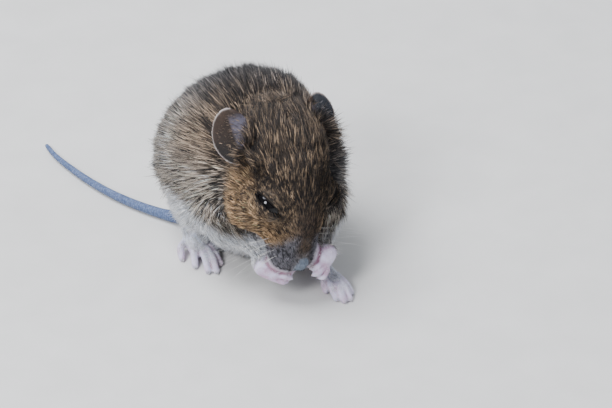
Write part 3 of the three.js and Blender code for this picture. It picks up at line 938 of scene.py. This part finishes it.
# %% [markdown]
# ## Tufts
# Hair cards or particle hair would be quicker, but they don't survive as a mesh. Each tuft is a thin
# three-sided lock, closed at its root, that rises from the skin and bends back over it to a point. Wood
# mouse hair is slate grey at the root, then tawny, and the longer hairs end in black, so each tuft
# carries how far along it a point is, and how dark its own tip turns.

# %% Scatter the roots
joined.calc_loop_triangles()
tri_verts = np.empty(len(joined.loop_triangles) * 3, int)
joined.loop_triangles.foreach_get("vertices", tri_verts)
tri_verts = tri_verts.reshape(-1, 3)
tri_loops = np.empty(len(joined.loop_triangles) * 3, int)
joined.loop_triangles.foreach_get("loops", tri_loops)
tri_loops = tri_loops.reshape(-1, 3)
skin_uv = np.empty(len(joined.loops) * 2)
joined.uv_layers.active.data.foreach_get("uv", skin_uv)
skin_uv = skin_uv.reshape(-1, 2)

near_nose = ease(9.0, 3.0, HP[:, 1]) * head_share
nape = ease(15.0, 21.0, HP[:, 1]) * ease(-2.0, 2.0, HP[:, 2])
near_eye = ease(3.2, 0.6, LID_EDGE)
near_rim = ease(0.5, 0.85, np.hypot(EAR_X, EAR_Y))
# tufts per square millimetre, length and width in millimetres, at each point of the skin
DENSITY = (BODY * 48 + head_share * (58 + 24 * near_nose + 24 * near_eye) + EAR * 52
           + HIND * 46 + FORE * 16 + TAILS * 12)
LENGTH = (PART["trunk"] * 3.9 + PART["neck"] * 3.5 + THIGH * 3.7 + ARM * 2.5
          + head_share * (2.3 - 1.5 * near_nose - 1.4 * near_eye + 1.2 * nape)
          + EAR * (0.85 + 0.4 * FRINGE) * (1 - 0.7 * near_rim)
          + HIND * (0.5 + 0.7 * ease(1.2, 3.0, P[:, 2])) + FORE * 0.5 + TAILS * 0.5)
WIDTH = (BODY * 0.105 + head_share * (0.092 - 0.03 * near_nose - 0.025 * near_eye)
         + EAR * 0.075 + (HIND + FORE) * 0.06 + TAILS * 0.05)
LENGTH = LENGTH * (1 - 0.35 * belly * BODY)
bald = np.maximum.reduce([NOSE_PAD, EDGE, ease(0.10, 0.02, LID_EDGE), ease(0.4, 0.15, P[:, 2]), 0.9 * CONCH])
under_paw = (HIND + FORE) * ease(0.2, -0.3, normal[:, 2])
DENSITY = DENSITY * (1 - np.clip(np.maximum(bald, under_paw), 0, 1))

corner = P[tri_verts]
area = 0.5 * np.linalg.norm(np.cross(corner[:, 1] - corner[:, 0], corner[:, 2] - corner[:, 0]), axis=1)
wanted = area * DENSITY[tri_verts].mean(1) * 1.0
count = np.floor(wanted + RNG.random(len(wanted))).astype(int)
home = np.repeat(np.arange(len(count)), count)
report("skin area", round(area.sum() / 100, 1), "square cm,", len(home), "tufts")

# %% Root values
n = len(home)
a, b = RNG.random((2, n))
swap = a + b > 1
a[swap], b[swap] = 1 - a[swap], 1 - b[swap]
bary = np.stack([1 - a - b, a, b], 1)


def at_roots(values):
    return (values[tri_verts[home]] * bary.reshape(n, 3, *[1] * (values.ndim - 1))).sum(1)


ROOT, OUT, WAY = at_roots(P), unit(at_roots(normal)), at_roots(LIE)
WAY = unit(WAY - OUT * (WAY * OUT).sum(1)[:, None])
SIDE = np.cross(WAY, OUT)
ROOT_UV = (skin_uv[tri_loops[home]] * bary[:, :, None]).sum(1)
tuft_long = at_roots(LENGTH) * RNG.normal(1.0, 0.22, n).clip(0.5, 1.5)
tuft_wide = at_roots(WIDTH) * RNG.normal(1.0, 0.2, n).clip(0.5, 1.6)
depth = at_roots(COAT_DEPTH)
furry = np.clip(at_roots(BODY + head_share), 0, 1)

# %% Bend each tuft, and draw neighbours into locks
GUARD_SHARE = 0.08  # of the body's tufts
guard = (RNG.random(n) < GUARD_SHARE) * at_roots(BODY)  # long single hairs that stand out of the coat
tuft_long *= 1 + 0.22 * guard
tuft_wide *= 1 - 0.45 * guard
rise = np.arcsin(np.clip(depth / np.maximum(tuft_long, 0.1) * 0.80, 0.10, 0.62))
rise = rise * RNG.normal(1.0, 0.20, n).clip(0.4, 1.5) + 0.10 * guard + 0.07 * waves(ROOT, 2.6, 11) * furry
sway = (0.16 * waves(ROOT, 3.4, 12) + 0.14 * waves(ROOT, 1.3, 13)) * furry + RNG.normal(0, 0.12, n)
forward = WAY * np.cos(sway)[:, None] + SIDE * np.sin(sway)[:, None]
low = rise * 0.62 - 0.06 * furry
half = tuft_long[:, None] * 0.5
mid = ROOT - OUT * 0.06 + (forward * np.cos(rise)[:, None] + OUT * np.sin(rise)[:, None]) * half
tip = mid + (forward * np.cos(low)[:, None] + OUT * np.sin(low)[:, None]) * half

LOCK = 0.5  # mm between the middles of neighbouring locks
cell = np.floor((ROOT + 0.5 * np.stack([waves(ROOT, 2.2, s) for s in (21, 22, 23)], 1)) / LOCK).astype(int)
_, lock = np.unique(cell, axis=0, return_inverse=True)
lock = lock.ravel()
size = np.bincount(lock).astype(float)
middle_tip = np.stack([np.bincount(lock, tip[:, k])[lock] / size[lock] for k in range(3)], 1)
pull = (0.20 * furry * (1 - guard) * RNG.uniform(0.3, 1.0, n))[:, None]
tip = tip + (middle_tip - tip) * pull
PROUD = 0.25  # mm that a tip may stand over the coat's depth before it is drawn back
height = ((tip - ROOT) * OUT).sum(1)
tip -= OUT * (0.75 * np.maximum(height - depth - PROUD, 0))[:, None]
tip[:, 2] = np.maximum(tip[:, 2], 0.04)
mid[:, 2] = np.maximum(mid[:, 2], 0.06)
report("coat reaches", round(float((tip - ROOT)[:, 2].max()), 1), "mm above its roots,", len(size), "locks")

# %% Colour of each tuft
GROUND_ROOT = at_roots(GROUND)
white = at_roots(np.clip(belly * BODY + (HIND + FORE), 0, 1))
streak = (0.25 + 0.15 * at_roots(BODY))[:, None]  # mm, width of the strands whose hairs share their banding
cell = np.floor(ROOT / streak + 0.2 * RNG.normal(size=(n, 3))).astype(int)
_, strand = np.unique(cell, axis=0, return_inverse=True)
strand = strand.ravel()
strand_count = strand.max() + 1
nose_fur = at_roots(near_nose)
black_share = (0.46 + 0.26 * at_roots(DARK)) * (1 - 0.95 * white) * (1 - 0.10 * nose_fur)
chance = 0.75 * RNG.random(strand_count)[strand] + 0.25 * RNG.random(n)
TICK = np.where(chance < black_share, RNG.uniform(0.8, 1.0, n), RNG.uniform(0.0, 0.15, n))
TICK = np.clip(TICK + 0.3 * guard, 0, 1) * (1 - 0.6 * white)
COAT_LIGHTNESS = 1.19
lightness = 0.42 * RNG.normal(size=strand_count)[strand] + 0.2 * RNG.normal(size=n)
lightness = np.exp(lightness * (1 - 0.5 * nose_fur)).clip(0.35, 2.6)
lightness = COAT_LIGHTNESS * lightness * (1 + 0.12 * waves(ROOT, 1.4, 41))
GROUND_ROOT = np.clip(GROUND_ROOT * (1 + (lightness - 1) * (1 - 0.5 * white))[:, None], 0, 1)
report("tufts coloured in", strand_count, "strands")

# %% [markdown]
# ## The coat's material
# Hair is a smooth, dry fibre: matt along its length, with a faint sheen where the light grazes it. The
# bands along each tuft come from how far along it a point lies, and the ticking from the tuft's own
# share of black.

# %% Coat material
material, tree = new_material("agouti_hair")
along = add_node(tree, "ShaderNodeAttribute", attribute_name="along").outputs["Fac"]
tick = add_node(tree, "ShaderNodeAttribute", attribute_name="tick").outputs["Fac"]
ground = add_node(tree, "ShaderNodeAttribute", attribute_name="ground").outputs["Color"]
place = add_node(tree, "ShaderNodeTexCoord").outputs["Object"]
fibres = add_node(tree, "ShaderNodeTexNoise", {"Vector": place, "Scale": 6.0 * PER_METRE, "Detail": 2.0})
band = add_node(tree, "ShaderNodeMapRange", {0: along, 1: 0.28, 2: 0.72}, interpolation_type="SMOOTHSTEP")
slate = add_node(tree, "ShaderNodeMix", {0: 0.25, 6: srgb("#1d1b1d"), 7: ground}, data_type="RGBA")
colour = add_node(tree, "ShaderNodeMix", {0: band, 6: slate, 7: ground}, data_type="RGBA")
end = add_node(tree, "ShaderNodeMapRange", {0: along, 1: 0.20, 2: 0.50}, interpolation_type="SMOOTHSTEP")
black = add_node(tree, "ShaderNodeMath", {0: end, 1: tick}, operation="MULTIPLY")
colour = add_node(tree, "ShaderNodeMix", {0: black, 6: colour, 7: srgb("#0d0d11")}, data_type="RGBA")
paler = add_node(tree, "ShaderNodeMath", {0: fibres, 1: 0.5, 2: 0.75}, operation="MULTIPLY_ADD")
colour = add_node(tree, "ShaderNodeVectorMath", {0: colour, 1: paler}, operation="MULTIPLY")
finish_material(tree, add_node(tree, "ShaderNodeBsdfPrincipled", {
    "Base Color": colour, "Roughness": 0.55, "IOR": 1.5, "Specular IOR Level": 0.2,
    "Sheen Weight": 0.04, "Sheen Roughness": 0.4}))
hair_material = material

# %% Build a coat piece
FACES = np.array([[0, 1, 4], [0, 4, 3], [1, 2, 5], [1, 5, 4], [2, 0, 3], [2, 3, 5],
                  [3, 4, 6], [4, 5, 6], [5, 3, 6], [0, 2, 1]])
CORNERS = 7  # two rings of three, and the tip
PATCH = 0.003  # size of a tuft's patch on the unwrap
SUNK = 0.12  # mm of a tuft's root inside the skin


def coat_piece(name, rows):
    count = len(rows)
    first = unit(mid[rows] - ROOT[rows])
    last = unit(tip[rows] - mid[rows])
    verts = np.empty((count, CORNERS, 3))
    rings = ((ROOT[rows] - OUT[rows] * SUNK, first, 0.8), (mid[rows], last, 1.0))
    for ring, (centre, way, share) in enumerate(rings):
        side = unit(np.cross(way, OUT[rows]))
        over = np.cross(side, way)
        w = (tuft_wide[rows] * share * 0.5)[:, None]
        verts[:, ring * 3] = centre + side * w
        verts[:, ring * 3 + 1] = centre - side * w
        verts[:, ring * 3 + 2] = centre + over * w * 0.8
    verts[:, 6] = tip[rows]
    verts[:, :, 2] = np.maximum(verts[:, :, 2], 0.0)
    faces = (FACES[None] + CORNERS * np.arange(count)[:, None, None]).reshape(-1, 3)
    mesh = bpy.data.meshes.new(name)
    mesh.vertices.add(count * CORNERS)
    mesh.vertices.foreach_set("co", (verts * MM).ravel())
    mesh.loops.add(faces.size)
    mesh.loops.foreach_set("vertex_index", faces.ravel())
    mesh.polygons.add(len(faces))
    mesh.polygons.foreach_set("loop_start", np.arange(0, faces.size, 3))
    mesh.update(calc_edges=True)
    store(mesh, "ground", np.repeat(GROUND_ROOT[rows], CORNERS, 0))
    store(mesh, "tick", np.repeat(TICK[rows], CORNERS))
    store(mesh, "along", np.tile([0, 0, 0, 0.5, 0.5, 0.5, 1.0], count))
    u = np.array([0, 1, 0.5, 0, 1, 0.5, 0.5]) - 0.5
    v = np.array([0, 0, 0, 0.5, 0.5, 0.5, 1.0]) - 0.5
    patch = ROOT_UV[rows][:, None] + PATCH * np.stack([u, v], 1)[None]
    mesh.uv_layers.new(name="OFBake").data.foreach_set("uv", patch.reshape(-1, 2)[faces.ravel()].ravel())
    mesh.shade_smooth()
    mesh.materials.append(hair_material)
    obj = bpy.data.objects.new(name, mesh)
    bpy.context.scene.collection.objects.link(obj)
    return obj


# %% Coat pieces, each under 200,000 triangles
TUFTS_IN_PIECE = 19000
own_head = at_roots(head_share)
own_skin = at_roots(np.clip(EAR + TAILS + HIND + FORE, 0, 1))
head_roots = to_head(ROOT)
region = np.where(own_skin > 0.5, 0, np.where(own_head > 0.5, 1, 2))
turn = np.where(region == 1, head_roots[:, 0], np.arctan2(ROOT[:, 0] - 0.2, ROOT[:, 1] - 1.5))
COAT = []
for k, name in enumerate(("fine_hair", "coat_head", "coat_body")):
    rows = np.where(region == k)[0]
    rows = rows[np.argsort(turn[rows])]
    shares = np.array_split(rows, int(np.ceil(len(rows) / TUFTS_IN_PIECE)))
    COAT += [coat_piece(f"{name}_{i + 1}", share) for i, share in enumerate(shares)]
for piece in COAT:
    report(piece.name, len(piece.data.polygons), "triangles")
    assert len(piece.data.polygons) < 200000

# %% [markdown]
# ## Whiskers
# Each side of the muzzle carries rows of long white whiskers that sweep out and back, and two short
# bristles stand on the chin. They are tapered tubes.

# %% Whisker shape
WHISKER_RINGS, WHISKER_SIDES = 12, 5
WHISKER_ROWS, WHISKERS_IN_ROW = 3, 4
WHISKER_RADIUS, BRISTLE_RADIUS, BRISTLE_LENGTH = 0.019, 0.03, 2.6  # mm


def whisker(root, way, droop, length, radius):
    t = np.linspace(0, 1, WHISKER_RINGS)[:, None]
    line = root + unit(way) * length * t + np.asarray(droop) * length * t * t
    side = unit(np.cross(unit(way), [0.1, 0.2, 1.0]))
    over = np.cross(side, unit(way))
    turn = np.linspace(0, 2 * np.pi, WHISKER_SIDES, endpoint=False)
    verts = np.vstack([line[k] + radius * (1 - 0.85 * t[k, 0]) * (np.cos(turn)[:, None] * side
                       + np.sin(turn)[:, None] * over) for k in range(WHISKER_RINGS)])
    return verts, tube_faces(WHISKER_RINGS, WHISKER_SIDES)


# %% Whiskers and bristles
surface = BVHTree.FromPolygons([Vector(p) for p in P], [p.vertices[:] for p in joined.polygons])
WHISKERS = []
for side, name in ((-1, "whiskers_right"), (1, "whiskers_left")):
    shapes = []
    for row in range(WHISKER_ROWS):
        for k in range(WHISKERS_IN_ROW):
            root = np.array([side * 3.4, 2.6 + 1.0 * k, 0.1 - 0.9 * row])
            spot = np.array(surface.find_nearest(Vector(from_head(root)))[0])
            back_sweep = 0.09 * k - 0.22 + 0.09 * RNG.normal()
            way = np.array([side, back_sweep, -0.1 - 0.14 * row + 0.08 * RNG.normal()])
            droop = np.array([-0.02 * side, 0.04, -0.10]) + 0.03 * RNG.normal(size=3)
            length = (5.5 + 1.6 * k) * RNG.uniform(0.8, 1.2)
            length = min(length, max(3.0, (spot[2] - 0.5) / max(0.05, -(unit(way)[2] + droop[2]))))
            shapes.append(whisker(spot, way, droop, length, WHISKER_RADIUS))
    for k in range(2):
        spot = np.array(surface.find_nearest(Vector(from_head([side * (0.8 + 0.5 * k), 1.6, -3.6])))[0])
        shapes.append(whisker(spot, [0.1 * side, -0.25, -1.0], [0, 0.1, 0], BRISTLE_LENGTH, BRISTLE_RADIUS))
    piece = object_from(name, *joined_shapes(shapes))
    for v in piece.data.vertices:
        v.co.z = max(v.co.z, 0.1 * MM)
    WHISKERS.append(piece)
material = clouded_material(
    "white_whisker_hair", 0.3 * PER_METRE, 2.0, [(0.35, "#cfcac6"), (0.65, "#f1eeea")],
    {"Roughness": 0.35, "IOR": 1.55})
for piece in WHISKERS:
    piece.data.materials.append(material)
    piece.data.shade_smooth()
report("whiskers set")

# %% [markdown]
# ## Tie everything to the frame
# The model is still, so every piece rides on the one body. The skin stands for all the flesh, and each
# eyeball for its own solid.

# %% Ride on the body, and hide the solids that the skin and eyes replace
for piece in [skin, *EYES, *CLAWS.values(), *COAT, *WHISKERS]:
    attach(piece, "root")
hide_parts(*BODY_NODES, *BARE_NODES)
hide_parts("eye_right")
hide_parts("eye_left")

# %% Size and finish
VISUAL_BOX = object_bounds()
report("CAD box", [[round(v * 1000, 1) for v in c] for c in CAD_BOX])
report("visual box", [[round(v * 1000, 1) for v in c] for c in VISUAL_BOX])
total = sum(len(o.data.polygons) for o in [skin, *COAT, *WHISKERS])
report("about", total, "faces in the skin, coat and whiskers")
